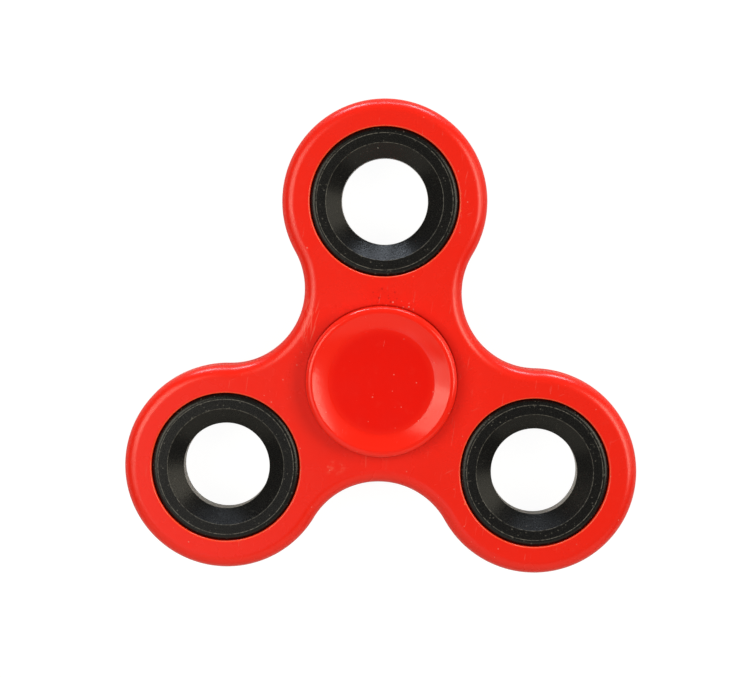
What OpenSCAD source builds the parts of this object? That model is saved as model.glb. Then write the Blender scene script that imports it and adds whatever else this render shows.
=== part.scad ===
// Three-lobed hand spinner: a moulded frame that turns on a shielded ball bearing
// between two finger caps, with a ring weight pressed into each lobe.
// Millimetres. The origin is the centre of the bearing, +Z is the spin axis,
// and the first lobe points along +Y.

/* [Frame] */
// Distance from the spin axis to the centre of each lobe
lobe_pitch_r = 26.4; // [26:0.1:28]
// Outer radius of each lobe, and the least distance from the spin axis to the outline
lobe_r = 15.2; // [14.6:0.1:15.6]
// Thickness of the frame, which is the width of the bearing
frame_t = 7; // [6.8:0.1:7.4]
// Radius of the rounding along the frame's outer edges
edge_r = 2; // [1.2:0.1:2.4]
// Chamfer around each of the frame's four seats
seat_chamfer = 0.22; // [0.1:0.02:0.3]

/* [Ring weights] */
// Diameter of the seats for the bearing and the weights
seat_d = 22; // [21.6:0.1:22.2]
// Thickness of a ring weight
weight_t = 6.8; // [6.4:0.1:7]
// Diameter of the hole through a ring weight
throat_d = 12.8; // [12:0.1:13.2]
// Diameter of the mouth of the countersink, at the weight's face
mouth_d = 17.3; // [16.6:0.1:17.8]
// Depth of the countersink on each face
countersink_depth = 1.8; // [1.6:0.1:2.4]
// Radius of the rounding on a weight's outer edge
shoulder_r = 0.85; // [0.5:0.05:1]

/* [Finger caps] */
// Diameter of a finger cap
cap_d = 22.2; // [21:0.1:22.6]
// Height of a cap's rim above the frame's face
cap_rise = 2.5; // [2.3:0.1:3]
// Gap between the frame's face and a cap's underside
cap_gap = 0.5; // [0.4:0.05:0.7]
// Radius of the rounding on a cap's outer edge
cap_edge_r = 0.8; // [0.5:0.05:0.9]
// Width of the flat crest of a cap's rim
rim_w = 0.2; // [0.15:0.05:0.4]
// Radius of the flat floor of the finger dish
dish_floor_r = 7.8; // [7:0.1:8.2]
// Radius of the sphere that the dish's side is part of
dish_sphere_r = 26; // [24:1:36]
// Length of the stem that is pressed into the bearing's bore
stem_l = 3.2; // [2.6:0.1:3.3]
// Diameter of the core hole in the stem
stem_core_d = 4.6; // [4:0.1:5.2]
// Diameter of the shoulder that stands on the inner race
cap_shoulder_d = 11; // [10.4:0.1:11.4]

/* [Bearing] */
// Diameter of the bearing's bore
bore_d = 8; // [7.8:0.1:8.1]
// Width of the bearing
bearing_w = 7; // [6.8:0.1:7]
// Diameter of a ball
ball_d = 3.969; // [3.9:0.01:4]
// Number of balls
ball_count = 7; // [6:1:7]
// Running clearance between a ball and each race
ball_play = 0.015; // [0.01:0.005:0.03]
// Outer diameter of the inner race's shoulder
inner_land_d = 12.1; // [11.9:0.1:12.2]
// Inner diameter of the outer race's shoulder
outer_land_d = 17.9; // [17.8:0.1:18.1]
// Thickness of the sheet that the shields are stamped from
shield_t = 0.25; // [0.2:0.05:0.3]
// Thickness of the sheet that the cage is stamped from
cage_t = 0.35; // [0.3:0.05:0.4]
// Radial width of the cage's ribbon
cage_w = 2; // [1.8:0.1:2.1]
// Diameter of a cage rivet
rivet_d = 0.8; // [0.7:0.05:0.9]

/* [Hidden] */
$fn = 96;
over = 1;                 // how far a cutter runs past the face that it cuts
lobe_count = 3;

// Frame outline: six arcs whose centres stand on a hexagon, lobes and waists in turn.
// Each waist arc bites this much into the lobes beside it.
waist_bite = 0.02;
waist_arc_r = lobe_pitch_r - lobe_r + waist_bite;
lobe_at = [for (i = [0 : lobe_count - 1]) 90 + i * 360 / lobe_count];
waist_at = [for (a = lobe_at) a + 180 / lobe_count];

// Bearing: the balls run on the circle midway between the bore and the seat.
pitch_r = (seat_d + bore_d) / 4;
ball_r = ball_d / 2;
groove_r = 0.52 * ball_d;
outer_groove_at = pitch_r + ball_r + ball_play - groove_r;
inner_groove_at = pitch_r - ball_r - ball_play + groove_r;
race_chamfer = 0.3;
shield_seat_r = 9.6;      // where the outer race is turned out for a shield's hem
shield_seat_z = bearing_w / 2 - 0.6;
shield_bore_r = inner_land_d / 2 + 0.25;
shield_hem_w = 0.45;
shield_step = 0.12;       // the face of a shield stands this far above its hem
cage_play = 0.06;
rivet_head_d = 1.3;
rivet_head_h = 0.22;

// Finger caps, from the frame's mid-plane.
cap_under_z = frame_t / 2 + cap_gap;
cap_top_z = frame_t / 2 + cap_rise;
cap_r = cap_d / 2;
rim_in_r = cap_r - cap_edge_r - rim_w;
dish_centre_z = cap_top_z + sqrt(pow(dish_sphere_r, 2) - pow(rim_in_r, 2));
dish_floor_z = dish_centre_z - sqrt(pow(dish_sphere_r, 2) - pow(dish_floor_r, 2));
stem_chamfer = 0.4;
cap_under_chamfer = 0.3;
core_roof_z = bearing_w / 2 + 0.3;

// A point at radius r and angle a from the spin axis.
function polar(r, a) = [r * cos(a), r * sin(a)];

// Half section, in radius and height, of a disc whose two outer edges are rounded.
module rounded_disc_section(r, t, edge) {
    translate([0, -t / 2]) square([r - edge, t]);
    translate([0, -(t / 2 - edge)]) square([r, t - 2 * edge]);
    for (side = [-1, 1])
        translate([r - edge, side * (t / 2 - edge)]) circle(r = edge);
}

// Half section of the spool that cuts a waist: it flares by edge at the two faces.
module waist_cutter_section(r, t, edge) {
    difference() {
        translate([0, -(t / 2 + over)]) square([r + edge, t + 2 * over]);
        translate([r, -(t / 2 - edge)]) square([2 * edge, t - 2 * edge]);
        for (side = [-1, 1])
            translate([r + edge, side * (t / 2 - edge)]) circle(r = edge);
    }
}

// Half section of the cutter for a seat whose two mouths are chamfered.
module seat_cutter_section(r, t, chamfer) {
    top = t / 2 + over;
    polygon([
        [0, -top], [r + chamfer + over, -top], [r, -(t / 2 - chamfer)],
        [r, t / 2 - chamfer], [r + chamfer + over, top], [0, top]
    ]);
}

// The three lobes, each a disc with rounded edges.
module lobes() {
    for (a = lobe_at)
        translate(concat(polar(lobe_pitch_r, a), 0))
            rotate_extrude() rounded_disc_section(lobe_r, frame_t, edge_r);
}

// The middle of the frame: a hexagonal plate with a waist cut into every other corner.
module waist() {
    corners = [for (i = [0 : 2 * lobe_count - 1]) polar(lobe_pitch_r, 90 + i * 180 / lobe_count)];
    difference() {
        translate([0, 0, -frame_t / 2]) linear_extrude(frame_t) polygon(corners);
        for (a = waist_at)
            translate(concat(polar(lobe_pitch_r, a), 0))
                rotate_extrude() waist_cutter_section(waist_arc_r, frame_t, edge_r);
    }
}

// Moulded frame with four seats: the bearing's in the middle and a weight's in each lobe.
module frame() {
    color("red") difference() {
        union() {
            waist();
            lobes();
        }
        rotate_extrude() seat_cutter_section(seat_d / 2, frame_t, seat_chamfer);
        for (a = lobe_at)
            translate(concat(polar(lobe_pitch_r, a), 0))
                rotate_extrude() seat_cutter_section(seat_d / 2, frame_t, seat_chamfer);
    }
}

// Ring weight number i: a steel ring, countersunk from both faces.
module weight(i) {
    half = weight_t / 2;
    color("black")
        translate(concat(polar(lobe_pitch_r, lobe_at[i]), 0))
            rotate_extrude() difference() {
                rounded_disc_section(seat_d / 2, weight_t, shoulder_r);
                translate([0, -half - over]) square([throat_d / 2, weight_t + 2 * over]);
                for (side = [-1, 1])
                    polygon([
                        [0, side * (half - countersink_depth)],
                        [throat_d / 2, side * (half - countersink_depth)],
                        [mouth_d / 2, side * half],
                        [mouth_d / 2, side * (half + over)],
                        [0, side * (half + over)]
                    ]);
            }
}

// Half section of the finger dish's cutter: part of a sphere, cut off by the flat floor.
module dish_section() {
    intersection() {
        translate([0, dish_centre_z]) circle(r = dish_sphere_r, $fn = 8 * $fn);
        translate([0, dish_floor_z]) square([rim_in_r + over, cap_top_z - dish_floor_z + over]);
    }
}

// Finger cap for the upper side: a dished button, its shoulder and its cored stem.
module cap() {
    stem_end = bearing_w / 2 - stem_l;
    color("red") rotate_extrude() difference() {
        union() {
            polygon([
                [0, cap_under_z], [cap_r - cap_under_chamfer, cap_under_z],
                [cap_r, cap_under_z + cap_under_chamfer], [cap_r, cap_top_z - cap_edge_r],
                [cap_r - cap_edge_r, cap_top_z - cap_edge_r],
                [cap_r - cap_edge_r, cap_top_z], [0, cap_top_z]
            ]);
            translate([cap_r - cap_edge_r, cap_top_z - cap_edge_r]) intersection() {
                circle(r = cap_edge_r);
                square(cap_edge_r);
            }
            polygon([
                [0, cap_under_z + cap_under_chamfer], [0, stem_end],
                [bore_d / 2 - stem_chamfer, stem_end],
                [bore_d / 2, stem_end + stem_chamfer], [bore_d / 2, bearing_w / 2],
                [cap_shoulder_d / 2, bearing_w / 2],
                [cap_shoulder_d / 2, cap_under_z + cap_under_chamfer]
            ]);
        }
        dish_section();
        translate([0, stem_end - over])
            square([stem_core_d / 2, core_roof_z - stem_end + over]);
    }
}

module cap_top() {
    cap();
}

module cap_bottom() {
    rotate([180, 0, 0]) cap();
}

// Rectangle between two radii, over the bearing's width, with chamfered corners.
module race_section(r_in, r_out, chamfer_in, chamfer_out) {
    half = bearing_w / 2;
    polygon([
        [r_in, -(half - chamfer_in)], [r_in + chamfer_in, -half],
        [r_out - chamfer_out, -half], [r_out, -(half - chamfer_out)],
        [r_out, half - chamfer_out], [r_out - chamfer_out, half],
        [r_in + chamfer_in, half], [r_in, half - chamfer_in]
    ]);
}

// Outer race: pressed into the frame, grooved for the balls and turned out for the shields.
module outer_race() {
    color("silver") rotate_extrude() difference() {
        race_section(outer_land_d / 2, seat_d / 2, 0, race_chamfer);
        translate([outer_groove_at, 0]) circle(r = groove_r);
        for (side = [0, 1])
            mirror([0, side]) translate([0, shield_seat_z]) square([shield_seat_r, over]);
    }
}

// Inner race: held between the two caps, which are pressed into its bore.
module inner_race() {
    color("silver") rotate_extrude() difference() {
        race_section(bore_d / 2, inner_land_d / 2, race_chamfer, 0.15);
        translate([inner_groove_at, 0]) circle(r = groove_r);
    }
}

// Ball number i.
module ball(i) {
    color("silver")
        translate(concat(polar(pitch_r, i * 360 / ball_count), 0)) sphere(r = ball_r);
}

// Upper half of the cage: a stamped ribbon with a pocket over each ball.
module cage_half() {
    tall = ball_r + cage_play + cage_t + over;
    pocket_at = [for (i = [0 : ball_count - 1]) i * 360 / ball_count];
    color("silver") difference() {
        intersection() {
            union() {
                cylinder(r = pitch_r + cage_w, h = cage_t);
                for (a = pocket_at)
                    translate(concat(polar(pitch_r, a), 0))
                        sphere(r = ball_r + cage_play + cage_t);
            }
            difference() {
                cylinder(r = pitch_r + cage_w / 2, h = tall);
                translate([0, 0, -over]) cylinder(r = pitch_r - cage_w / 2, h = tall + 2 * over);
            }
        }
        for (a = pocket_at)
            translate(concat(polar(pitch_r, a), 0)) sphere(r = ball_r + cage_play);
        for (a = pocket_at)
            translate(concat(polar(pitch_r, a + 180 / ball_count), -over))
                cylinder(d = rivet_d, h = tall);
    }
}

module cage_top() {
    cage_half();
}

module cage_bottom() {
    rotate([180, 0, 0]) cage_half();
}

// Rivets that join the cage's halves, one between each pair of balls.
module cage_rivets() {
    head_z = cage_t + rivet_head_h;
    color("silver")
        for (i = [0 : ball_count - 1])
            translate(concat(polar(pitch_r, (i + 0.5) * 360 / ball_count), 0))
                rotate_extrude() polygon([
                    [0, -head_z], [0.3 * rivet_head_d, -head_z],
                    [rivet_head_d / 2, -(cage_t + 0.3 * rivet_head_h)],
                    [rivet_head_d / 2, -cage_t], [rivet_d / 2, -cage_t],
                    [rivet_d / 2, cage_t], [rivet_head_d / 2, cage_t],
                    [rivet_head_d / 2, cage_t + 0.3 * rivet_head_h],
                    [0.3 * rivet_head_d, head_z], [0, head_z]
                ]);
}

// Upper shield: a stamped washer whose hem stands in the outer race.
module shield() {
    face_z = shield_seat_z + shield_step;
    hem_in = shield_seat_r - shield_hem_w;
    color("gray") rotate_extrude() polygon([
        [shield_bore_r, face_z], [hem_in - shield_step, face_z],
        [hem_in, shield_seat_z], [shield_seat_r, shield_seat_z],
        [shield_seat_r, shield_seat_z + shield_t], [hem_in, shield_seat_z + shield_t],
        [hem_in - shield_step, face_z + shield_t], [shield_bore_r, face_z + shield_t]
    ]);
}

module shield_top() {
    shield();
}

module shield_bottom() {
    rotate([180, 0, 0]) shield();
}

frame();
weight(0);  // weight_1
weight(1);  // weight_2
weight(2);  // weight_3
cap_top();
cap_bottom();
outer_race();
inner_race();
ball(0);  // ball_1
ball(1);  // ball_2
ball(2);  // ball_3
ball(3);  // ball_4
ball(4);  // ball_5
ball(5);  // ball_6
ball(6);  // ball_7
cage_top();
cage_bottom();
cage_rivets();
shield_top();
shield_bottom();
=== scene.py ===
"""Looks of a three-lobed hand spinner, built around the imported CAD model.

The moulded frame, the two finger caps and the three ring weights are rebuilt here as fine
meshes of the same size. The bearing keeps its CAD nodes and gets better materials.
Lengths in the constants are millimetres. Blender's own units are metres.
"""
import math

import bpy
import numpy as np
from mathutils import Euler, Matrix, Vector
from mathutils.geometry import delaunay_2d_cdt


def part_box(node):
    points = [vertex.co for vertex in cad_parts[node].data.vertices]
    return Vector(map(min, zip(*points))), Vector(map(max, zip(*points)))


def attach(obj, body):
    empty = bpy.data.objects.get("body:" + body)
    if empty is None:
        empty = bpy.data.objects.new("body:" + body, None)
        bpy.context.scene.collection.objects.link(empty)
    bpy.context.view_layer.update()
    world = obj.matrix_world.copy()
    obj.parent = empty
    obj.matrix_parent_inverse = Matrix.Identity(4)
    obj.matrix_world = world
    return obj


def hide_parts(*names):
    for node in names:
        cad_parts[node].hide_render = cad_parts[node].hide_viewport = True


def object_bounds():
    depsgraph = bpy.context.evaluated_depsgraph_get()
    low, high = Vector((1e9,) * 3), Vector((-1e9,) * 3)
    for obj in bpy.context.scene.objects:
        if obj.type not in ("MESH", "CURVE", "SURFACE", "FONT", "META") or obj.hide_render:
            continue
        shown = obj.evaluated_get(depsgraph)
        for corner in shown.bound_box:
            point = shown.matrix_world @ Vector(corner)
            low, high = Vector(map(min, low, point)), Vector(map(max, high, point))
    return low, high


MM = 0.001

# Moulded frame
EDGE_R = 2.0            # rounding along the outer edges
RIM_ARC_R = EDGE_R - 0.09   # the wall stands in from the box, so its own arc is a little smaller
LIP_R = 0.28            # rounding of the seats' lips
PARTING_RISE = 0.05     # the parting line stands this proud of the side wall
PARTING_W = 0.1
PARTING_FOOT_R = 0.03   # roundings at the parting line's foot and along its crest
PARTING_CREST_R = 0.02
WALL_DRAFT = 0.03       # the side wall leans in by this much towards each face
RIM_MARGIN = 0.2        # the rim's band of faces runs this far on to the flat face
LIP_MARGIN = 0.1        # and so do the bands round the seats
OUTLINE_STEP = 0.3      # spacing of points along the outline
FACE_STEP = 1.3         # spacing of points over the flat faces
FACE_CLEARANCE = 0.5    # those points keep this far from the flat face's edges

# Ring weights
MOUTH_R = 8.65
THROAT_R = 6.4
COUNTERSINK_DEPTH = 1.8
SHOULDER_R = 0.85
WEIGHT_BREAK = 0.1      # rounding of the countersink's edges
SHOULDER_LINE_R = 10.05     # a pale line is painted along this circle, where the flat meets the shoulder: partly worn paint, partly a painted highlight
WEAR_AND_HIGHLIGHT_W = 0.08           # the worn edges and the shoulder's painted highlight fade out over this width
BARE_BELOW = 0.3        # the bare bore starts this far below the throat's edge
PATTERN_SHIFT = 31.0    # from one weight's random pattern to the next one's

# Finger caps, heights from the frame's mid-plane
CAP_UNDER_Z = 4.0
CAP_EDGE_R = 0.8
CREST_W = 0.2
CREST_BREAK = 0.1
DISH_FLOOR_R = 7.8
DISH_SPHERE_R = 26
DISH_BLEND_R = 0.9
CAP_SHOULDER_R = 5.5
CAP_SHOULDER_Z = 3.5
STEM_R = 4.0
STEM_END_Z = 0.3
STEM_CORE_R = 2.3
CORE_ROOF_Z = 3.8
CAP_BREAK = 0.1         # rounding of the small edges under the cap
CAP_RIM_BREAK = 0.2
STEM_BREAK = 0.3

# Meshes
RING_SEGMENTS = 240
ARC_STEP = math.radians(8)  # largest turn between two points of a rounded corner
LONGEST_STEP = 0.6      # longest face along a section

# Colours
FRAME_RED = (0.97, 0.0178, 0.0056, 1)
CAP_RED = (0.93, 0.0072, 0.0012, 1)
# Painted light: the paler red of the caps' dish slopes and rims
CAP_LIT_SLOPE_RED = (0.98, 0.0180, 0.0060, 1)
# The seats' pale lip line: partly flash, partly a painted highlight
LIP_ORANGE = (1.0, 0.16, 0.05, 1)
DARK_RED = (0.42, 0.004, 0.002, 1)
PALE_RED = (0.95, 0.16, 0.11, 1)
DUST = (0.90, 0.45, 0.38, 1)
PAINT = (0.0036, 0.0037, 0.0037, 1)
WORN_PAINT = (0.23, 0.22, 0.20, 1)
LINT = (0.60, 0.58, 0.55, 1)
BARE_STEEL = (0.98, 0.97, 0.99, 1)
RACE_STEEL = (0.62, 0.62, 0.63, 1)
BALL_STEEL = (0.70, 0.70, 0.71, 1)
SHEET_STEEL = (0.50, 0.50, 0.50, 1)

# Gloss and relief
IOR = 1.5               # of the plastic and of the paint
FRAME_ROUGH = 0.24
CAP_ROUGH = 0.155
RACE_ROUGH = 0.22
BALL_ROUGH = 0.12
SHEET_ROUGH = 0.36
PEEL_DEPTH = 0.006      # the moulded surface's slow waves
GRAIN_DEPTH = 0.0012
MARK_DEPTH = 0.01       # dust stands proud and scratches are cut in by this much
PAINT_DEPTH = 0.03
PIT_DEPTH = 0.008
LATHE_DEPTH = 0.003
ROLLED_DEPTH = 0.004

# Marks on the frame's upper face, each an oval by its centre and its half size
WAIST_RUB = ((-10.6, 9.2), (1.9, 5.2))
LOWER_SMUDGE = ((-6.8, -13.0), (2.0, 1.3))
SHORT_LINE = ((-2.1, -11.9), (1, 1.1))
DIRT_PATCH = ((0.2, 12.2), (2.8, 2.0))
LINT_PATCH = ((2.9, 11.2), (3.0, 0.9))
CAP_SHADE_R = 11.15         # painted shade: a dark ring is painted on the frame along the caps' edge, where the gap under the cap lies in shade

# Camera and studio
CAMERA_AT = (3.36, 23.0, 288.04)
CAMERA_TURN = (-3.367, 1.183, 0.965)
CAMERA_LENS = 95
SENSOR_W = 36
FLOOR_R = 1.6           # metres, as are the backdrop's radius and the lights' sizes and distances
BACKDROP_R = 1.8
FLOOR_GLOW = 0.94
FLOOR_ALBEDO = 0.15
PAPER_ALBEDO = 0.6
PAPER_DROP = 0.02       # millimetres from the visible floor down to the paper that the object sees
SKY = 0.11
WARM = (1.0, 0.94, 0.76)
COOL = (0.80, 0.88, 1.0)
WHITE = (1, 1, 1)
SOFTBOX_DISTANCE = 0.7
LEFT_DISTANCE = 0.35    # the left softboxes stand closer


# ---------------------------------------------------------------- sections and meshes


def rounded_path(corners, closed, longest=LONGEST_STEP):
    """Points and outward normals along a section whose corners are rounded.

    Each corner is (across, up, radius). The outside is on the left of the walk. Straight
    stretches are cut into pieces no longer than longest.
    """
    count = len(corners)
    points, normals = [], []

    def left(direction):
        return np.array([-direction[1], direction[0]])

    for i in range(count):
        here = np.array(corners[i][:2], float)
        radius = corners[i][2]
        before = np.array(corners[i - 1][:2], float)
        after = np.array(corners[(i + 1) % count][:2], float)
        arrive = (here - before) / np.linalg.norm(here - before)
        leave = (after - here) / np.linalg.norm(after - here)
        if not closed and i in (0, count - 1):
            points.append(here)
            normals.append(left(leave if i == 0 else arrive))
            continue
        turn = math.atan2(arrive[0] * leave[1] - arrive[1] * leave[0], arrive @ leave)
        tangent = radius * math.tan(abs(turn) / 2)
        side = math.copysign(1, turn)
        centre = here - tangent * arrive + side * radius * left(arrive)
        steps = max(3, math.ceil(abs(turn) / ARC_STEP))
        for k in range(steps + 1):
            angle = turn * k / steps
            normal = math.cos(angle) * left(arrive) - math.sin(angle) * arrive
            points.append(centre - side * radius * normal)
            normals.append(normal)
    return cut_long_stretches(points, normals, closed, longest)


def cut_long_stretches(points, normals, closed, longest):
    """The same path with extra points, so that no step is longer than longest."""
    fine_points, fine_normals = [], []
    last = len(points) if closed else len(points) - 1
    for i in range(last):
        j = (i + 1) % len(points)
        pieces = max(1, math.ceil(np.linalg.norm(points[j] - points[i]) / longest))
        for k in range(pieces):
            share = k / pieces
            normal = (1 - share) * normals[i] + share * normals[j]
            fine_points.append((1 - share) * points[i] + share * points[j])
            fine_normals.append(normal / np.linalg.norm(normal))
    if not closed:
        fine_points.append(points[-1])
        fine_normals.append(normals[-1])
    return np.array(fine_points), np.array(fine_normals)


def quads(rows, columns, first=0, closed_rows=False):
    """Faces of a tube of rows by columns, whose columns close on themselves."""
    faces = []
    for i in range(rows if closed_rows else rows - 1):
        below = first + i * columns
        above = first + (i + 1) % rows * columns
        for j in range(columns):
            k = (j + 1) % columns
            faces.append((below + j, above + j, above + k, below + k))
    return faces


def make_piece(name, vertices, faces, normals, at, material):
    """A smooth mesh in millimetres about at, with the given normal at each vertex."""
    mesh = bpy.data.meshes.new(name)
    mesh.from_pydata([tuple(v * MM) for v in vertices], [], faces)
    mesh.shade_smooth()
    mesh.normals_split_custom_set_from_vertices([tuple(n) for n in normals])
    mesh.materials.append(material)
    piece = bpy.data.objects.new(name, mesh)
    piece.location = at
    bpy.context.scene.collection.objects.link(piece)
    return piece


def revolve(path, path_normals, closed):
    """Vertices, faces and normals of a section turned about Z. An open one starts and ends on the axis."""
    angles = np.linspace(0, 2 * math.pi, RING_SEGMENTS, endpoint=False)
    circle = np.stack([np.cos(angles), np.sin(angles)], axis=1)
    rings = path if closed else path[1:-1]
    ring_normals = path_normals if closed else path_normals[1:-1]
    vertices, normals = [], []
    for (r, z), (out, up) in zip(rings, ring_normals):
        vertices += [np.array([r * c, r * s, z]) for c, s in circle]
        normals += [np.array([out * c, out * s, up]) for c, s in circle]
    faces = quads(len(rings), RING_SEGMENTS, closed_rows=closed)
    if not closed:
        last_ring = len(vertices) - RING_SEGMENTS
        start, end = len(vertices), len(vertices) + 1
        vertices += [np.array([0, 0, path[0][1]]), np.array([0, 0, path[-1][1]])]
        normals += [np.array([0, 0, path_normals[0][1]]), np.array([0, 0, path_normals[-1][1]])]
        for j in range(RING_SEGMENTS):
            k = (j + 1) % RING_SEGMENTS
            faces.append((start, j, k))
            faces.append((end, last_ring + k, last_ring + j))
    return vertices, faces, normals


# ---------------------------------------------------------------- moulded frame


class FrameOutline:
    """The frame's outline: three lobe arcs and three waist arcs, centred on a hexagon."""

    def __init__(self, pitch, lobe_r, seat_r):
        self.pitch = pitch
        self.lobe_r = lobe_r
        self.waist_r = pitch - lobe_r
        self.lobes = [self.corner(90 + 120 * i) for i in range(3)]
        self.waists = [self.corner(150 + 120 * i) for i in range(3)]
        self.seats = [np.zeros(2)] + self.lobes
        self.seat_r = seat_r

    def corner(self, degrees):
        return self.pitch * np.array([math.cos(math.radians(degrees)), math.sin(math.radians(degrees))])

    def walk(self):
        """Points along the outline, anticlockwise, and their outward normals."""
        points, normals = [], []
        for i in range(3):
            for centre, radius, start, sweep in (
                (self.lobes[i], self.lobe_r, -30 + 120 * i, 240),
                (self.waists[i], self.waist_r, 30 + 120 * i, -120),
            ):
                steps = math.ceil(radius * math.radians(abs(sweep)) / OUTLINE_STEP)
                for k in range(steps):
                    angle = math.radians(start + sweep * k / steps)
                    spoke = np.array([math.cos(angle), math.sin(angle)])
                    points.append(centre + radius * spoke)
                    normals.append(spoke * math.copysign(1, sweep))
        return np.array(points), np.array(normals)

    def holds(self, point, inset, lip):
        """True if point is in the flat face, whose edge is inset and whose seats are widened by lip."""
        if any(np.linalg.norm(point - seat) < self.seat_r + lip for seat in self.seats):
            return False
        if any(np.linalg.norm(point - lobe) < self.lobe_r - inset for lobe in self.lobes):
            return True
        sides = [self.corner(30 + 60 * i) / self.pitch for i in range(6)]
        apothem = self.pitch * math.cos(math.radians(30))
        turned = [np.array([-s[1], s[0]]) for s in sides]
        in_hexagon = all(point @ t < apothem for t in turned)
        clear = all(np.linalg.norm(point - waist) > self.waist_r + inset for waist in self.waists)
        return in_hexagon and clear


def rim_section(half):
    """The frame's outer wall, from the top face to the bottom face, across as minus the inset."""
    wall = -PARTING_RISE
    lean = -PARTING_RISE - WALL_DRAFT
    flat = half - EDGE_R
    inner = -EDGE_R - RIM_MARGIN
    crest = PARTING_W / 3
    corners = [
        (inner, half, 0), (lean, half, RIM_ARC_R),
        (wall, PARTING_W, PARTING_FOOT_R), (0, crest, PARTING_CREST_R),
        (0, -crest, PARTING_CREST_R), (wall, -PARTING_W, PARTING_FOOT_R),
        (lean, -half, RIM_ARC_R), (inner, -half, 0),
    ]
    return rounded_path(corners, closed=False, longest=flat / 3)


def seat_section(half, seat_r):
    """A seat's wall, from the bottom face to the top face, across as the radius."""
    outer = seat_r + LIP_R + LIP_MARGIN
    corners = [(outer, -half, 0), (seat_r, -half, LIP_R), (seat_r, half, LIP_R), (outer, half, 0)]
    return rounded_path(corners, closed=False, longest=half)


def fill_face(outline, rings, inset, lip):
    """Triangles of a flat face between its boundary rings, and the extra points inside it."""
    points, edges = [], []
    for ring in rings:
        first = len(points)
        points += [Vector(p) for p in ring]
        edges += [(first + j, first + (j + 1) % len(ring)) for j in range(len(ring))]
    on_rings = len(points)
    reach = outline.pitch + outline.lobe_r
    rows = int(reach / FACE_STEP)
    for row in range(-rows, rows + 1):
        for column in range(-rows, rows + 1):
            spot = FACE_STEP * np.array([column + row % 2 / 2, row * math.cos(math.radians(30))])
            if outline.holds(spot, inset + FACE_CLEARANCE, lip + FACE_CLEARANCE):
                points.append(Vector(spot))
    found, _, triangles, sources, _, _ = delaunay_2d_cdt(points, edges, [], 0, 1e-5)
    source = [s[0] for s in sources]
    kept = []
    for triangle in triangles:
        middle = sum((np.array(found[i]) for i in triangle), np.zeros(2)) / 3
        if outline.holds(middle, inset, lip):
            kept.append(tuple(source[i] for i in triangle))
    return [np.array(p) for p in points[on_rings:]], kept


def build_frame(material):
    """The moulded frame: rounded rim with its parting line, four lipped seats, two flat faces."""
    _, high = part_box("frame")
    weight_low, weight_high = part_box("weight_1")
    half = high.z / MM
    pitch = (weight_low.y + weight_high.y) / 2 / MM
    seat_r = (weight_high.x - weight_low.x) / 2 / MM
    outline = FrameOutline(pitch, high.y / MM - pitch, seat_r)
    edge, edge_normals = outline.walk()
    vertices, normals, faces = [], [], []
    top_rings, bottom_rings = [], []

    def add_band(path, path_normals, place, outward):
        """A band of quads along path. place and outward give each step's points and normals."""
        first = len(vertices)
        for (across, z), (out, up) in zip(path, path_normals):
            vertices.extend(np.append(p, z) for p in place(across))
            normals.extend(np.append(out * n, up) for n in outward)
        faces.extend(quads(len(path), len(outward), first))
        return first, len(vertices) - len(outward)

    rim, rim_normals = rim_section(half)
    top, bottom = add_band(rim, rim_normals, lambda a: edge + a * edge_normals, edge_normals)
    top_rings.append((top, len(edge)))
    bottom_rings.append((bottom, len(edge)))

    wall, wall_normals = seat_section(half, seat_r)
    angles = np.linspace(0, 2 * math.pi, RING_SEGMENTS, endpoint=False)
    spokes = np.stack([np.cos(angles), np.sin(angles)], axis=1)
    for seat in outline.seats:
        bottom, top = add_band(wall, wall_normals, lambda r, at=seat: at + r * spokes, spokes)
        top_rings.append((top, RING_SEGMENTS))
        bottom_rings.append((bottom, RING_SEGMENTS))

    inset, lip = EDGE_R + RIM_MARGIN, LIP_R + LIP_MARGIN
    for rings, z, turned in ((top_rings, half, False), (bottom_rings, -half, True)):
        loops = [[vertices[first + j][:2] for j in range(count)] for first, count in rings]
        index = [first + j for first, count in rings for j in range(count)]
        inside, triangles = fill_face(outline, loops, inset, lip)
        index += range(len(vertices), len(vertices) + len(inside))
        vertices.extend(np.append(p, z) for p in inside)
        normals.extend(np.array([0, 0, math.copysign(1, z)]) for _ in inside)
        for triangle in triangles:
            corners = [index[i] for i in triangle]
            faces.append(tuple(reversed(corners)) if turned else tuple(corners))
    piece = make_piece("moulded_frame", vertices, faces, normals, (0, 0, 0), material)
    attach(piece, "rotor")
    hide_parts("frame")


# ---------------------------------------------------------------- ring weights and caps


def build_weight(number, material):
    """A ring weight with rounded shoulders and a countersink in each face."""
    node = f"weight_{number}"
    low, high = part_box(node)
    outer = (high.x - low.x) / 2 / MM
    half = (high.z - low.z) / 2 / MM
    neck = half - COUNTERSINK_DEPTH
    corners = [
        (MOUTH_R, half, WEIGHT_BREAK), (outer, half, SHOULDER_R), (outer, -half, SHOULDER_R),
        (MOUTH_R, -half, WEIGHT_BREAK), (THROAT_R, -neck, WEIGHT_BREAK), (THROAT_R, neck, WEIGHT_BREAK),
    ]
    path, path_normals = rounded_path(corners, closed=True)
    vertices, faces, normals = revolve(path, path_normals, closed=True)
    piece = make_piece(f"ring_weight_{number}", vertices, faces, normals, (low + high) / 2, material)
    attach(piece, "rotor")
    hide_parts(node)


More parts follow.
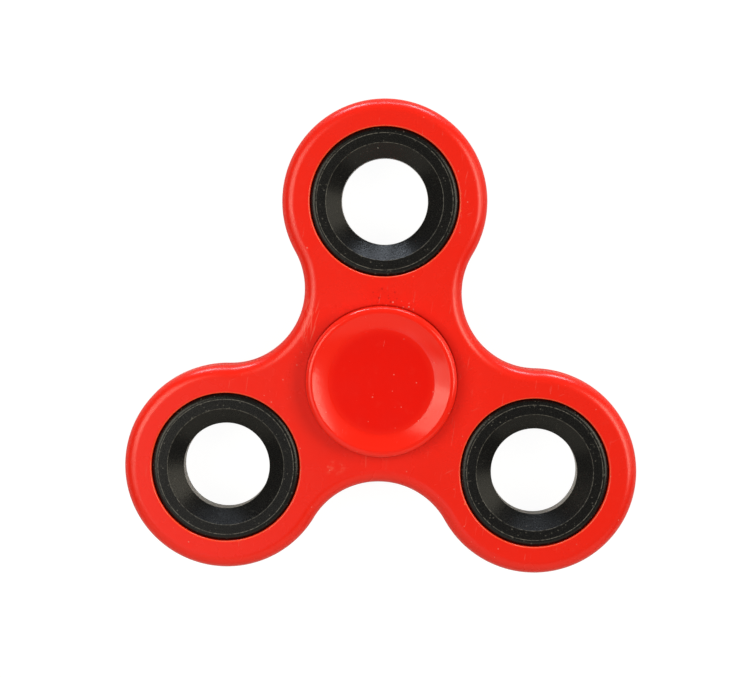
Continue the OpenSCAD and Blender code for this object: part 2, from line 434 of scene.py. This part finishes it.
def cap_section(top, outer):
    """Half section of the upper cap, from the middle of its dish to the roof of its core."""
    crest_in = outer - CAP_EDGE_R - CREST_W
    steep, shallow = (math.asin(r / DISH_SPHERE_R) for r in (crest_in, DISH_FLOOR_R))
    centre = top + DISH_SPHERE_R * math.cos(steep)
    floor = centre - DISH_SPHERE_R * math.cos(shallow)
    middle = (steep + shallow) / 2
    reach = DISH_SPHERE_R / math.cos((steep - shallow) / 2)
    corners = [
        (0, floor, 0), (DISH_FLOOR_R, floor, DISH_BLEND_R),
        (reach * math.sin(middle), centre - reach * math.cos(middle), 0.8 * DISH_SPHERE_R),
        (crest_in, top, CREST_BREAK),
        (outer, top, CAP_EDGE_R), (outer, CAP_UNDER_Z, CAP_RIM_BREAK),
        (CAP_SHOULDER_R, CAP_UNDER_Z, CAP_BREAK), (CAP_SHOULDER_R, CAP_SHOULDER_Z, CAP_BREAK),
        (STEM_R, CAP_SHOULDER_Z, CAP_BREAK), (STEM_R, STEM_END_Z, STEM_BREAK),
        (STEM_CORE_R, STEM_END_Z, STEM_BREAK / 2), (STEM_CORE_R, CORE_ROOF_Z, STEM_BREAK),
        (0, CORE_ROOF_Z, 0),
    ]
    return rounded_path(corners, closed=False)


def build_cap(node, material):
    """A dished finger cap with its shoulder and cored stem. The lower one is the same part turned over."""
    low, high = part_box(node)
    upright = 1 if node == "cap_top" else -1
    top = max(abs(low.z), abs(high.z)) / MM
    path, path_normals = cap_section(top, high.x / MM)
    vertices, faces, normals = revolve(path, path_normals, closed=False)
    flip = np.array([1, upright, upright])
    vertices = [v * flip for v in vertices]
    normals = [n * flip for n in normals]
    side = node.split("_")[1]
    piece = make_piece(f"finger_cap_{side}", vertices, faces, normals, (0, 0, 0), material)
    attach(piece, "hub")
    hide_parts(node)


# ---------------------------------------------------------------- materials


class Finish:
    """One procedural material. Its coordinates are the piece's own, in millimetres."""

    def __init__(self, name, shift=0.0, **shader):
        """shift moves every random pattern, so that like parts don't carry like marks."""
        self.material = bpy.data.materials.new(name)
        self.material.use_nodes = True
        self.tree = self.material.node_tree
        self.shader = self.tree.nodes["Principled BSDF"]
        for socket, value in shader.items():
            self.put(self.shader.inputs[socket.replace("_", " ")], value)
        coordinates = self.tree.nodes.new("ShaderNodeTexCoord")
        self.at = self.vector("SCALE", coordinates.outputs["Object"], Scale=1 / MM)
        apart = self.tree.nodes.new("ShaderNodeSeparateXYZ")
        self.put(apart.inputs[0], self.at)
        self.x, self.y, self.z = apart.outputs
        self.random_at = self.vector("ADD", self.at, (shift, shift, shift))

    def put(self, socket, value):
        """Links value to socket if it is a socket too, or else sets it."""
        if isinstance(value, bpy.types.NodeSocket):
            self.tree.links.new(value, socket)
        else:
            socket.default_value = value

    def math(self, operation, *values, clamp=False):
        node = self.tree.nodes.new("ShaderNodeMath")
        node.operation = operation
        node.use_clamp = clamp
        for socket, value in zip(node.inputs, values):
            self.put(socket, value)
        return node.outputs[0]

    def vector(self, operation, *values, **named):
        node = self.tree.nodes.new("ShaderNodeVectorMath")
        node.operation = operation
        for socket, value in zip(node.inputs, values):
            self.put(socket, value)
        for socket, value in named.items():
            self.put(node.inputs[socket], value)
        return node.outputs["Value" if operation in ("LENGTH", "DISTANCE") else "Vector"]

    def together(self, x, y, z):
        node = self.tree.nodes.new("ShaderNodeCombineXYZ")
        for socket, value in zip(node.inputs, (x, y, z)):
            self.put(socket, value)
        return node.outputs[0]

    def noise(self, per_mm, at=None, detail=2.0, roughness=0.5):
        """Noise from 0 to 1, with this many features in a millimetre."""
        node = self.tree.nodes.new("ShaderNodeTexNoise")
        self.put(node.inputs["Vector"], at or self.random_at)
        self.put(node.inputs["Scale"], per_mm)
        self.put(node.inputs["Detail"], detail)
        self.put(node.inputs["Roughness"], roughness)
        return node.outputs["Fac"]

    def cells(self, per_mm):
        """Distance in millimetres to the nearest of a scatter of points, and a colour for each."""
        node = self.tree.nodes.new("ShaderNodeTexVoronoi")
        self.put(node.inputs["Vector"], self.random_at)
        self.put(node.inputs["Scale"], per_mm)
        return self.math("DIVIDE", node.outputs["Distance"], per_mm), node.outputs["Color"]

    def ease(self, value, start, end, low=0.0, high=1.0):
        """low where value is at start, high where it is at end, and smooth between them."""
        node = self.tree.nodes.new("ShaderNodeMapRange")
        node.interpolation_type = "SMOOTHSTEP"
        for socket, number in zip(node.inputs, (value, start, end, low, high)):
            self.put(socket, number)
        return node.outputs["Result"]

    def blend(self, factor, a, b):
        """Colour a where factor is 0 and b where it is 1."""
        node = self.tree.nodes.new("ShaderNodeMix")
        node.data_type = "RGBA"
        self.put(node.inputs[0], factor)
        self.put(node.inputs[6], a)
        self.put(node.inputs[7], b)
        return node.outputs[2]

    def bump(self, height, depth_mm, normal=None):
        """A bump whose height runs from 0 to depth_mm."""
        node = self.tree.nodes.new("ShaderNodeBump")
        self.put(node.inputs["Height"], height)
        self.put(node.inputs["Distance"], depth_mm * MM)
        if normal is not None:
            self.put(node.inputs["Normal"], normal)
        return node.outputs[0]

    def radius(self, centre=(0, 0)):
        """Distance from a vertical line through centre."""
        flat = self.together(self.x, self.y, 0)
        return self.vector("DISTANCE", flat, (centre[0], centre[1], 0))

    def oval(self, centre, half_size):
        """1 inside an oval of the XY plane, fading to 0 at its edge."""
        off = self.vector("SUBTRACT", self.together(self.x, self.y, 0), (centre[0], centre[1], 0))
        off = self.vector("DIVIDE", off, (half_size[0], half_size[1], 1))
        return self.ease(self.vector("LENGTH", off), 1, 0.5)

    def near(self, value, middle, width):
        """1 where value is middle, falling to 0 at width from it."""
        off = self.math("ABSOLUTE", self.math("SUBTRACT", value, middle))
        return self.ease(off, width, 0)

    def turned(self, degrees, across, along, shift=0.0):
        """Coordinates stretched along one direction of the XY plane, for scratches and brushing."""
        node = self.tree.nodes.new("ShaderNodeMapping")
        self.put(node.inputs["Vector"], self.at)
        node.inputs["Rotation"].default_value = (0, 0, math.radians(-degrees))
        node.inputs["Location"].default_value = (shift, shift, shift)
        return self.vector("MULTIPLY", node.outputs[0], (along, across, across))

    def hairlines(self, degrees, level, across=5.0, along=0.16, shift=0.0):
        """Mask of fine broken scratches along one direction."""
        streaks = self.noise(1, self.turned(degrees, across, along, shift), 1, 0.4)
        return self.ease(streaks, level, level + 0.04)

    def specks(self, per_mm, size, share):
        """Mask of scattered round specks up to size across, in this share of the cells."""
        distance, colour = self.cells(per_mm)
        apart = self.tree.nodes.new("ShaderNodeSeparateColor")
        self.put(apart.inputs[0], colour)
        chosen = self.math("GREATER_THAN", apart.outputs[0], 1 - share)
        reach = self.math("MULTIPLY", apart.outputs[1], size / 2)
        inside = self.math("SUBTRACT", reach, distance)
        return self.math("MULTIPLY", chosen, self.ease(inside, 0, size / 6))


def red_plastic(name, red, rough_low, marks):
    """Glossy moulded ABS, faintly mottled, with dust and hairline scratches.

    marks adds one part's own marks, and its painted light and shade. It takes the finish and the colour so
    far, and gives the new colour and a mask of what stands proud.
    """
    f = Finish(name, IOR=IOR, Specular_IOR_Level=0.4)
    mottle = f.noise(0.22, detail=3, roughness=0.55)
    grain = f.noise(5, detail=2)
    deep = tuple(0.88 * c for c in red[:3]) + (1,)
    cloud = f.noise(1.7, detail=5, roughness=0.75)
    colour = f.blend(f.math("MULTIPLY", f.math("ADD", mottle, cloud), 0.45), red, deep)
    swirl = f.ease(f.noise(0.8, detail=4, roughness=0.6), 0.55, 0.85, high=0.05)
    colour = f.blend(swirl, colour, PALE_RED)
    scratches = f.math("MAXIMUM", f.hairlines(82, 0.74, along=0.3),
                       f.hairlines(24, 0.77, along=0.4, shift=7))
    scratches = f.math("MULTIPLY", scratches, f.ease(f.noise(0.12), 0.45, 0.6))
    colour = f.blend(f.math("MULTIPLY", scratches, 0.16), colour, PALE_RED)
    colour, proud = marks(f, colour)
    dust = f.math("MAXIMUM", f.specks(0.9, 0.24, 0.7), f.specks(0.3, 0.34, 0.4))
    colour = f.blend(f.math("MULTIPLY", dust, 0.33), colour, DUST)
    dust = f.math("MAXIMUM", dust, proud)
    rough = f.ease(mottle, 0.3, 0.7, rough_low, rough_low + 0.05)
    rough = f.math("ADD", rough, f.math("MULTIPLY", f.math("MAXIMUM", scratches, dust), 0.2))
    f.put(f.shader.inputs["Base Color"], colour)
    f.put(f.shader.inputs["Roughness"], rough)
    peel = f.bump(f.noise(0.9, detail=2), PEEL_DEPTH)
    fine = f.bump(grain, GRAIN_DEPTH, peel)
    relief = f.math("SUBTRACT", dust, scratches)
    f.put(f.shader.inputs["Normal"], f.bump(relief, MARK_DEPTH, fine))
    return f.material


def lip_flash_and_highlight(f, seats, seat_r, flecks):
    """Mask of the pale line round the seats, which is partly flash and partly a painted highlight of the
    lip's rounding, with a few burrs beside it.
    """
    lip, burrs = 0.0, 0.0
    for seat in seats:
        r = f.radius(seat)
        lip = f.math("MAXIMUM", lip, f.near(r, seat_r + 0.11, 0.13))
        burrs = f.math("MAXIMUM", burrs, f.near(r, seat_r + 0.35, 0.55))
    burrs = f.math("MULTIPLY", burrs, f.specks(1.5, 0.34, 0.4))
    lip = f.math("MULTIPLY", lip, f.ease(flecks, 0.3, 0.7, 0.25, 0.75))
    return f.math("MAXIMUM", lip, f.math("MULTIPLY", burrs, 0.8))


def rub_mark(f):
    """Mask of the pale rubs: scratches by one waist, and a smudge and a short line by another."""
    rub = f.math("MAXIMUM", f.hairlines(88, 0.60, across=5.5, along=0.16, shift=3),
                 f.hairlines(72, 0.63, across=5.5, along=0.3, shift=11))
    rub = f.math("MULTIPLY", rub, f.oval(*WAIST_RUB))
    smudge = f.ease(f.noise(1.3, detail=4), 0.42, 0.62)
    smudge = f.math("MULTIPLY", f.oval(*LOWER_SMUDGE), smudge)
    line = f.math("MULTIPLY", f.near(f.x, SHORT_LINE[0][0], 0.10), f.oval(*SHORT_LINE))
    pale = f.math("MAXIMUM", f.math("MULTIPLY", rub, 0.5), f.math("MULTIPLY", smudge, 0.3))
    return f.math("MAXIMUM", pale, f.math("MULTIPLY", line, 0.4))


def dirt_mark(f, flecks):
    """Mask of the dark dirt between the cap and the first lobe's weight."""
    dirt = f.math("ADD", f.specks(2.2, 0.5, 0.7), f.ease(flecks, 0.35, 0.75, high=0.3), clamp=True)
    return f.math("MULTIPLY", dirt, f.oval(*DIRT_PATCH))


def frame_marks(seats, seat_r):
    """The frame's own marks: pale lips round the weights, partly a painted highlight, rubs by two waists,
    dirt by the cap, and a painted shade ring along the cap's edge.
    """

    def marks(f, colour):
        on_top = f.math("GREATER_THAN", f.z, 0)
        flecks = f.noise(3.5, detail=2, roughness=0.7)
        # The lips' pale line is partly flash and partly a painted highlight.
        colour = f.blend(lip_flash_and_highlight(f, seats, seat_r, flecks), colour, LIP_ORANGE)
        pale = f.math("MULTIPLY", rub_mark(f), on_top)
        colour = f.blend(pale, colour, PALE_RED)
        # Painted shade: a dark ring along the cap's edge stands in for the shadow of the gap under the
        # cap.
        cap_edge_shade = f.math("MULTIPLY", f.near(f.radius(), CAP_SHADE_R, 0.3), 0.55)
        colour = f.blend(cap_edge_shade, colour, DARK_RED)
        dirt = f.math("MULTIPLY", dirt_mark(f, flecks), f.math("MULTIPLY", on_top, 0.6))
        colour = f.blend(dirt, colour, DARK_RED)
        lint = f.math("MULTIPLY", f.specks(3.0, 0.30, 0.8), f.oval(*LINT_PATCH))
        lint = f.math("MULTIPLY", lint, on_top)
        colour = f.blend(f.math("MULTIPLY", lint, 0.6), colour, LINT)
        return colour, f.math("MAXIMUM", lint, f.math("MULTIPLY", pale, 0.5))

    return marks


def cap_lit_slopes(f, colour):
    """Painted light: the dish's slopes and rim are painted a paler red than its floor, so that the slopes
    look evenly lit.
    """
    return f.blend(f.ease(f.radius(), 6.6, 8.6), colour, CAP_LIT_SLOPE_RED), 0.0


def wear_and_shoulder_highlight(f, r, height, neck):
    """Mask of the worn paint along the countersink's mouth and its throat, and of the shoulder's pale
    line, which is partly worn paint and partly a painted highlight.
    """
    patches = f.ease(f.noise(2.4, detail=3, roughness=0.7), 0.3, 0.66)
    # The shoulder's pale line is partly a painted highlight.
    shoulder = f.near(r, SHOULDER_LINE_R, WEAR_AND_HIGHLIGHT_W)
    mouth = f.near(r, MOUTH_R, WEAR_AND_HIGHLIGHT_W)
    throat = f.near(height, neck, 0.07)
    pale_lines = f.math("MAXIMUM", f.math("MULTIPLY", shoulder, 0.85), f.math("MULTIPLY", mouth, 0.55))
    pale_lines = f.math("MAXIMUM", pale_lines, f.math("MULTIPLY", throat, 0.12))
    return f.math("MULTIPLY", pale_lines, patches)


def bare_bore(f, r, height, neck):
    """Mask of the bore's bare steel, which starts a little below the countersinks."""
    in_bore = f.ease(r, THROAT_R + 0.06, THROAT_R + 0.02)
    return f.math("MULTIPLY", in_bore, f.ease(height, neck - BARE_BELOW, neck - 1.5 * BARE_BELOW))


def black_paint(name, half, shift):
    """Semi-gloss black paint, worn at its edges, with a painted highlight along the shoulder. The bore is
    left bare, as it was turned.
    """
    f = Finish(name, shift, IOR=IOR, Specular_IOR_Level=0.35)
    r = f.radius()
    height = f.math("ABSOLUTE", f.z)
    neck = half - COUNTERSINK_DEPTH
    on_flat = f.ease(r, MOUTH_R - 0.1, MOUTH_R + 0.1)
    grain = f.noise(7, detail=3, roughness=0.65)
    colour = f.blend(f.ease(grain, 0.5, 0.8, high=0.09), PAINT, WORN_PAINT)
    amount = f.math("ADD", f.math("MULTIPLY", on_flat, 0.7), 0.3)
    speckle = f.math("MULTIPLY", f.specks(2.4, 0.3, 0.5), amount)
    colour = f.blend(f.math("MULTIPLY", speckle, 0.3), colour, WORN_PAINT)
    # Worn paint at the edges, and along the shoulder partly a painted highlight.
    colour = f.blend(wear_and_shoulder_highlight(f, r, height, neck), colour, WORN_PAINT)
    lint = f.math("MAXIMUM", f.specks(0.9, 0.2, 0.3), f.specks(0.35, 0.34, 0.3))
    colour = f.blend(f.math("MULTIPLY", lint, 0.6), colour, LINT)
    bore = bare_bore(f, r, height, neck)
    colour = f.blend(bore, colour, BARE_STEEL)
    rough = f.math("SUBTRACT", f.ease(grain, 0.3, 0.7, 0.24, 0.33), f.math("MULTIPLY", bore, 0.08))
    f.put(f.shader.inputs["Base Color"], colour)
    f.put(f.shader.inputs["Metallic"], bore)
    f.put(f.shader.inputs["Roughness"], rough)
    texture = f.math("MULTIPLY", grain, f.math("ADD", f.math("MULTIPLY", on_flat, 0.3), 0.2))
    coarse = f.bump(f.noise(3.2, detail=2), PIT_DEPTH)
    f.put(f.shader.inputs["Normal"], f.bump(texture, PAINT_DEPTH, coarse))
    return f.material


def turned_steel(name, tint, rough, per_mm=9.0):
    """Steel finished on a lathe: fine marks that run round the axis, with light oil stains."""
    f = Finish(name, Metallic=1.0)
    around = f.math("ARCTAN2", f.y, f.x)
    marks = f.noise(1, f.together(f.math("MULTIPLY", f.radius(), per_mm), around,
                                  f.math("MULTIPLY", f.z, per_mm)), 3, 0.6)
    stain = f.noise(0.5, detail=3)
    darker = tuple(0.72 * c for c in tint[:3]) + (1,)
    colour = f.blend(f.ease(stain, 0.4, 0.7), tint, darker)
    f.put(f.shader.inputs["Base Color"], colour)
    f.put(f.shader.inputs["Roughness"], f.ease(marks, 0.3, 0.7, rough - 0.06, rough + 0.1))
    f.put(f.shader.inputs["Normal"], f.bump(marks, LATHE_DEPTH))
    return f.material


def pressed_sheet(name, tint, rough):
    """Stamped sheet steel: a fine rolled grain one way and soft dull patches."""
    f = Finish(name, Metallic=1.0)
    grain = f.noise(1, f.turned(30, 12, 0.5), 2, 0.6)
    patches = f.noise(0.7, detail=3)
    darker = tuple(0.7 * c for c in tint[:3]) + (1,)
    f.put(f.shader.inputs["Base Color"], f.blend(f.ease(patches, 0.35, 0.7), tint, darker))
    f.put(f.shader.inputs["Roughness"], f.ease(grain, 0.3, 0.7, rough - 0.05, rough + 0.12))
    f.put(f.shader.inputs["Normal"], f.bump(grain, ROLLED_DEPTH))
    return f.material


def finish_bearing():
    """Gives the bearing's CAD nodes their materials."""
    race = turned_steel("ground_bearing_steel", RACE_STEEL, RACE_ROUGH)
    ball = turned_steel("polished_ball_steel", BALL_STEEL, BALL_ROUGH, per_mm=3)
    sheet = pressed_sheet("pressed_steel_sheet", SHEET_STEEL, SHEET_ROUGH)
    for name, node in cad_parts.items():
        if node.hide_render:
            continue
        chosen = race if name.endswith("race") else ball if name.startswith("ball") else sheet
        node.data.materials.clear()
        node.data.materials.append(chosen)


# ---------------------------------------------------------------- studio


def glow(name, strength, albedo=0.0):
    """A plain white surface that gives off light evenly and may also scatter some."""
    material = bpy.data.materials.new(name)
    material.use_nodes = True
    shader = material.node_tree.nodes["Principled BSDF"]
    shader.inputs["Base Color"].default_value = (albedo, albedo, albedo, 1)
    shader.inputs["Roughness"].default_value = 1
    shader.inputs["Specular IOR Level"].default_value = 0
    shader.inputs["Emission Color"].default_value = WHITE + (1,)
    shader.inputs["Emission Strength"].default_value = strength
    material.cycles.emission_sampling = "NONE"
    return material


def disc(name, z, material):
    """A round sheet that lies at height z."""
    bpy.ops.mesh.primitive_circle_add(vertices=96, radius=FLOOR_R, fill_type="NGON", location=(0, 0, z))
    sheet = bpy.context.object
    sheet.name = name
    sheet.data.materials.append(material)
    return sheet


def build_floor():
    """A pale table under the lower cap.

    The camera sees it nearly white, in front of a white backdrop. The object sees plain paper.
    """
    low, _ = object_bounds()
    floor = disc("floor", low.z, glow("pale_table", FLOOR_GLOW, FLOOR_ALBEDO))
    bpy.ops.mesh.primitive_uv_sphere_add(segments=64, ring_count=32, radius=BACKDROP_R)
    backdrop = bpy.context.object
    backdrop.name = "backdrop"
    backdrop.data.materials.append(glow("white_backdrop", 1.0))
    for piece in (floor, backdrop):
        for ray in ("diffuse", "glossy", "transmission", "volume_scatter", "shadow"):
            setattr(piece, f"visible_{ray}", False)
    paper = disc("paper", low.z - PAPER_DROP * MM, glow("white_paper", 0, PAPER_ALBEDO))
    paper.visible_camera = False


def softbox(name, azimuth, elevation, width, height, radiance, tint, distance=SOFTBOX_DISTANCE):
    """An area light that faces the object, placed by its azimuth from +X and its elevation.

    The angles are degrees, and the sizes and the distance are metres.
    """
    light = bpy.data.lights.new(name, "AREA")
    light.shape = "RECTANGLE"
    light.size, light.size_y = width, height
    light.energy = radiance * width * height * math.pi
    light.color = tint
    lamp = bpy.data.objects.new(name, light)
    a, e = math.radians(azimuth), math.radians(elevation)
    away = Vector((math.cos(a) * math.cos(e), math.sin(a) * math.cos(e), math.sin(e)))
    lamp.location = away * distance
    lamp.rotation_euler = away.to_track_quat("Z", "Y").to_euler()
    lamp.visible_camera = False
    bpy.context.scene.collection.objects.link(lamp)


def light_studio():
    """Softboxes at both sides, three low cool strips beyond the object, dim fills and a dim even sky.

    Each call gives the azimuth, the elevation, the width, the height and the radiance.
    """
    softbox("left_softbox", 160, 51, 0.18, 0.20, 3.6, WARM, distance=LEFT_DISTANCE)
    softbox("left_softbox_end", 188, 50, 0.16, 0.20, 1.6, WARM, distance=LEFT_DISTANCE)
    softbox("right_softbox", 14, 42, 0.50, 0.27, 5.9, WARM)
    softbox("right_skirt", 14, 16, 0.50, 0.20, 1.6, WARM)
    softbox("far_strip", 90, 10, 0.20, 0.07, 13.0, COOL)
    softbox("far_left_strip", 109, 3, 0.18, 0.12, 24.0, COOL)
    softbox("far_right_strip", 71, 3, 0.18, 0.12, 24.0, COOL)
    softbox("near_fill", 265, 30, 1.60, 0.70, 0.54, WARM)
    softbox("near_left_fill", 222, 66, 0.40, 0.34, 0.65, WHITE)
    world = bpy.data.worlds.new("studio")
    world.use_nodes = True
    sky = world.node_tree.nodes.get("Background") or world.node_tree.nodes.new("ShaderNodeBackground")
    sky.inputs["Color"].default_value = WHITE + (1,)
    sky.inputs["Strength"].default_value = SKY
    bpy.context.scene.world = world
    bpy.context.scene.view_settings.view_transform = "Standard"


def place_camera():
    """The camera looks almost straight down, from over the first lobe."""
    data = bpy.data.cameras.new("camera")
    data.lens = CAMERA_LENS
    data.sensor_width = SENSOR_W
    data.clip_start, data.clip_end = 0.01, 10
    camera = bpy.data.objects.new("camera", data)
    camera.location = Vector(CAMERA_AT) * MM
    camera.rotation_euler = Euler([math.radians(a) for a in CAMERA_TURN], "XYZ")
    bpy.context.scene.collection.objects.link(camera)
    bpy.context.scene.camera = camera


# ---------------------------------------------------------------- the object

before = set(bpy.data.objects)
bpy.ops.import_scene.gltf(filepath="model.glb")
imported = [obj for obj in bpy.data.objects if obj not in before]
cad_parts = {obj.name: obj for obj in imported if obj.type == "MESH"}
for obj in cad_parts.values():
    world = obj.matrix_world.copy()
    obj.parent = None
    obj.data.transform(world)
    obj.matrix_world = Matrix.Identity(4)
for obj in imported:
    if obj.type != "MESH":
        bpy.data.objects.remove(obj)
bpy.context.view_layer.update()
place_camera()
light_studio()
build_floor()

weight_boxes = [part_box(f"weight_{i}") for i in (1, 2, 3)]
middles = [(low + high) / 2 / MM for low, high in weight_boxes]
seat_centres = [(m.x, m.y) for m in middles]
seat_radius = (weight_boxes[0][1].x - weight_boxes[0][0].x) / 2 / MM
lobe_marks = frame_marks(seat_centres, seat_radius)
build_frame(red_plastic("red_abs_frame", FRAME_RED, FRAME_ROUGH, lobe_marks))
cap_plastic = red_plastic("red_abs_caps", CAP_RED, CAP_ROUGH, cap_lit_slopes)
for cap_node in ("cap_top", "cap_bottom"):
    build_cap(cap_node, cap_plastic)
weight_half = (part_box("weight_1")[1].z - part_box("weight_1")[0].z) / 2 / MM
for weight_number in (1, 2, 3):
    paint = black_paint(f"black_paint_{weight_number}", weight_half, PATTERN_SHIFT * weight_number)
    build_weight(weight_number, paint)
finish_bearing()
